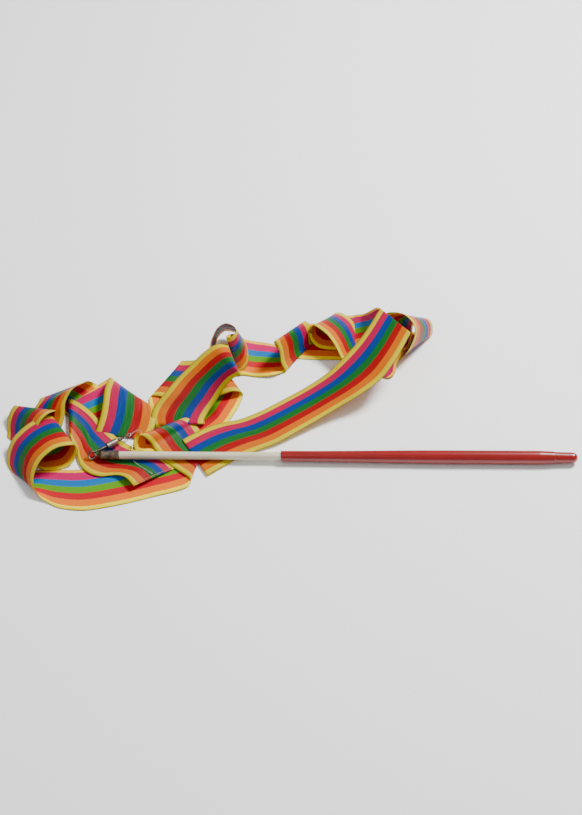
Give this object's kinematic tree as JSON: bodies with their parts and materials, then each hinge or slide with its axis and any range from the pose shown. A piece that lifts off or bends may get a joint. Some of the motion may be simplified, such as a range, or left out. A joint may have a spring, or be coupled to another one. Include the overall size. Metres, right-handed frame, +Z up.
{
  "type": "rhythmic ribbon wand",
  "caption": "Ribbon wand: an off-white plastic stick with a red grip, a nickel tip with a barrel swivel, and a long rainbow-striped satin ribbon lying in loose curls.",
  "frame": {"origin": "on the stick's axis, at the middle of the grip's belly", "axes": "+X along the stick towards the butt of the grip, +Z up from the surface the wand lies on, +Y away from the viewer"},
  "size_m": [0.4136, 0.1951, 0.0386],
  "materials": {
    "stick_plastic": "slightly see-through",
    "grip_plastic": "glossy",
    "nickel": "dull nickel",
    "barrel_metal": "turned",
    "clear_line": "clear line",
    "thread": "thread",
    "satin": "satin stripes"
  },
  "bodies": {
    "wand": {"stick": "stick_plastic", "grip_sleeve": "grip_plastic", "ferrule": "nickel", "ferrule_plug": "nickel", "tip_eye": "nickel", "ribbon": "satin", "hem_stitching": "thread", "leader_line": "clear_line", "leader_knot_ribbon": "clear_line"},
    "swivel_inner": {"swivel_inner_eye": "nickel"},
    "swivel_barrel": {"swivel_barrel": "barrel_metal"},
    "swivel_outer": {"swivel_outer_eye": "nickel", "leader_knot_swivel": "clear_line"}
  },
  "joints": [
    {"name": "swivel_swing", "type": "hinge", "parent": "wand", "child": "swivel_inner", "pos_m": [-0.28829, 0.00142, 0.00128], "axis": [0.5113, -0.7129, -0.48], "range_deg": [0, 110]},
    {"name": "barrel_spin", "type": "hinge", "parent": "swivel_inner", "child": "swivel_barrel", "pos_m": [-0.27639, 0.01036, 0.00068], "axis": [0.799, 0.6, -0.04], "continuous": true},
    {"name": "outer_eye_spin", "type": "hinge", "parent": "swivel_inner", "child": "swivel_outer", "pos_m": [-0.26991, 0.01522, 0.00036], "axis": [0.799, 0.6, -0.04], "continuous": true}
  ]
}
